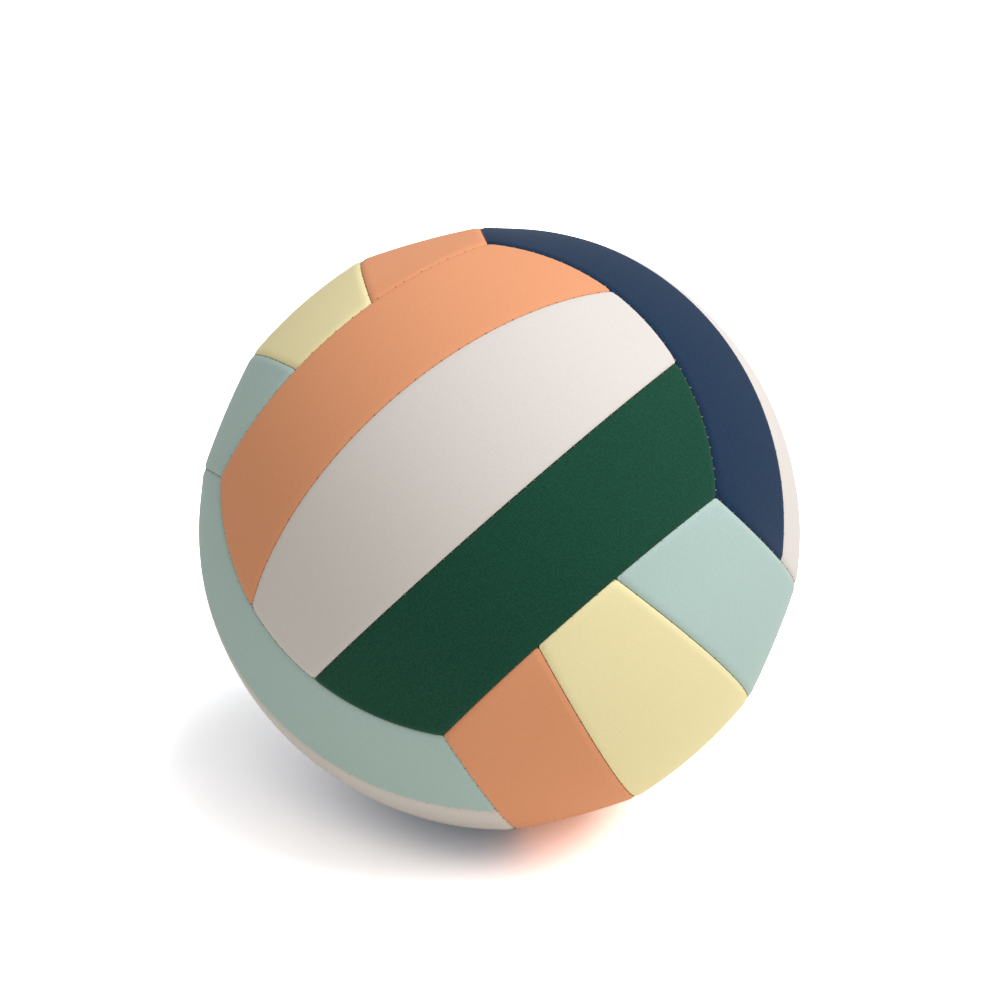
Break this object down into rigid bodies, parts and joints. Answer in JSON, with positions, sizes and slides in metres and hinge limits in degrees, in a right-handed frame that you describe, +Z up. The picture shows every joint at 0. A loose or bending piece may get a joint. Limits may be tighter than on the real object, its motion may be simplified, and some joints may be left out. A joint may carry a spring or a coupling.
{
  "type": "volleyball",
  "caption": "Soft sewn volleyball: coloured strips of knit-faced foam sheet, in crossed groups, round a rubber bladder with a needle valve.",
  "frame": {"origin": "centre of the ball", "axes": "+Z up as the ball lies on the floor, -Y towards the viewer, +X to the viewer's right"},
  "size_m": [0.21, 0.21, 0.21],
  "materials": {
    "orange_knit": "soft matt knit over foam sheet",
    "white_knit": "soft matt knit over foam sheet",
    "green_knit": "soft matt knit over foam sheet",
    "navy_knit": "soft matt knit over foam sheet",
    "mint_knit": "soft matt knit over foam sheet",
    "yellow_knit": "soft matt knit over foam sheet",
    "sewing_thread": "twisted polyester",
    "bladder_rubber": "smooth matt",
    "valve_rubber": "smooth matt",
    "core_rubber": "smooth matt",
    "patch_cloth": "plain woven"
  },
  "bodies": {
    "root": {"front_upper_panel": "orange_knit", "front_centre_panel": "white_knit", "front_lower_panel": "green_knit", "back_upper_panel": "green_knit", "back_centre_panel": "white_knit", "back_lower_panel": "orange_knit", "right_front_panel": "navy_knit", "right_centre_panel": "white_knit", "right_back_panel": "mint_knit", "left_front_panel": "mint_knit", "left_centre_panel": "white_knit", "left_back_panel": "navy_knit", "top_right_panel": "orange_knit", "top_centre_panel": "yellow_knit", "top_left_panel": "mint_knit", "bottom_left_panel": "orange_knit", "bottom_centre_panel": "yellow_knit", "bottom_right_panel": "mint_knit", "strip_seam_thread": "sewing_thread", "face_seam_thread": "sewing_thread", "bladder": "bladder_rubber", "valve_housing": "valve_rubber", "valve_core": "core_rubber", "valve_patch": "patch_cloth"}
  },
  "joints": []
}
